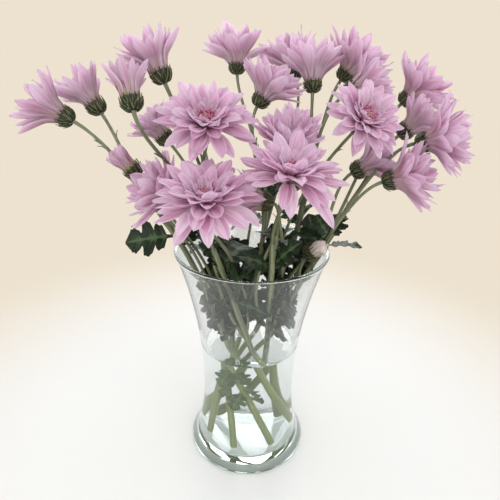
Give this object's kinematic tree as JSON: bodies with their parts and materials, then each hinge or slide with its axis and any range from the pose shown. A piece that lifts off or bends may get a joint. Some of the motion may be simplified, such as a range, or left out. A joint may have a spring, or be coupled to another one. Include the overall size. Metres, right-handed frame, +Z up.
{
  "type": "chrysanthemum bouquet",
  "caption": "Loose bouquet of leafy spray chrysanthemums with pointed pink petals, standing in water in a clear glass vase with a narrow waist, a wide rim and a thick flat foot",
  "frame": {"origin": "the middle of the vase's flat underside, where the bouquet stands", "axes": "+Z is up; -Y is the front, which the picture is taken from; +X is to the right as seen from the front"},
  "size_m": [0.3115, 0.2249, 0.3514],
  "materials": {
    "glass": "clear smooth blown glass, a little green in the thick foot",
    "water": "clear still water",
    "petal": "soft matt pink petal with paler margins and fine lengthwise grooves",
    "bud": "tight closed bud of pale green and dull pink petal tips",
    "green": "matt olive green stem, cup and lobed leaf, darker on the leaf"
  },
  "bodies": {
    "root": {"vase": "glass", "water": "water", "spray_back": "green", "spray_back_left": "green", "spray_front": "green", "spray_front_left": "green", "spray_left": "green", "spray_right": "green", "spray_right_front": "green", "bloom_back_low_left": "petal", "bloom_back_low_right": "petal", "bloom_behind_front": "petal", "bloom_centre_left_large": "petal", "bloom_closed_bud": "bud", "bloom_front_left_large": "petal", "bloom_front_right_large": "petal", "bloom_left_1": "petal", "bloom_left_2": "petal", "bloom_left_3": "petal", "bloom_left_bud": "petal", "bloom_left_inner": "petal", "bloom_left_top": "petal", "bloom_low_centre": "petal", "bloom_low_left": "petal", "bloom_right_behind": "petal", "bloom_right_edge": "petal", "bloom_right_far": "petal", "bloom_right_inner": "petal", "bloom_right_large": "petal", "bloom_right_low": "petal", "bloom_right_top": "petal", "bloom_top_back": "petal", "bloom_top_centre": "petal", "bloom_top_far": "petal", "bloom_top_right": "petal", "bloom_top_right_near": "petal"}
  },
  "joints": []
}
